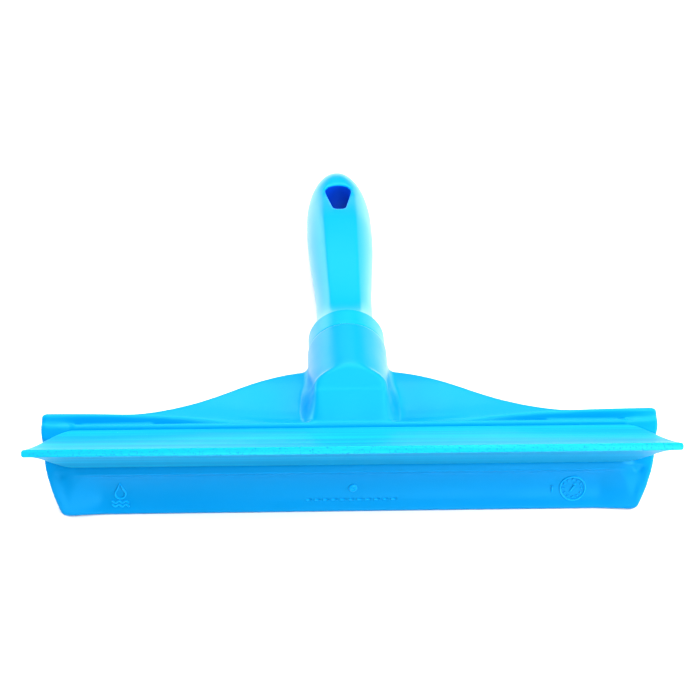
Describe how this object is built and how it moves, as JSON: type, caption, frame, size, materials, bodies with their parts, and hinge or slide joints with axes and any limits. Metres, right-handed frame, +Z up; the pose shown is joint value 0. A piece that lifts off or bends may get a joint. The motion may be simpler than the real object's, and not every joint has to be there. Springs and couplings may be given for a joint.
{
  "type": "table squeegee",
  "caption": "Wide table squeegee: soft wiping blade on a winged head with a skirt, and a short screw-in handle with a hanging hole.",
  "frame": {"origin": "middle of the table under the tool, as it lies on the skirt's free edge and the handle's underside", "axes": "+X along the blade, +Y from the wiping edge towards the handle's end, +Z up"},
  "size_m": [0.245, 0.2082, 0.045],
  "materials": {
    "head_plastic": "smooth moulded polypropylene, satin gloss",
    "blade_rubber": "soft moulded elastomer, matt, with a cut wiping edge",
    "handle_plastic": "smooth moulded polypropylene, satin gloss"
  },
  "bodies": {
    "head": {"squeegee_head": "head_plastic", "blade_root": "blade_rubber"},
    "lip": {"blade_lip": "blade_rubber"},
    "collar": {"collar_ring": "handle_plastic"},
    "handle": {"mini_handle": "handle_plastic"}
  },
  "joints": [
    {"name": "blade_flex", "type": "hinge", "parent": "head", "child": "lip", "pos_m": [0, -0.09156, 0.03286], "axis": [1, 0, 0], "range_deg": [-25, 25], "stiffness_Nm_per_rad": 0.6},
    {"name": "handle_travel", "type": "slide", "parent": "head", "child": "collar", "axis": [0, 0.9908, -0.1353], "range_m": [0, 0.0252]},
    {"name": "handle_screw", "type": "hinge", "parent": "collar", "child": "handle", "pos_m": [0, -0.02169, 0.02266], "axis": [0, 0.9908, -0.1353], "range_deg": [0, 1800]}
  ],
  "couplings": [
    {"joint": "handle_travel", "follows": "handle_screw", "m_per_rad": 0.00079577}
  ]
}
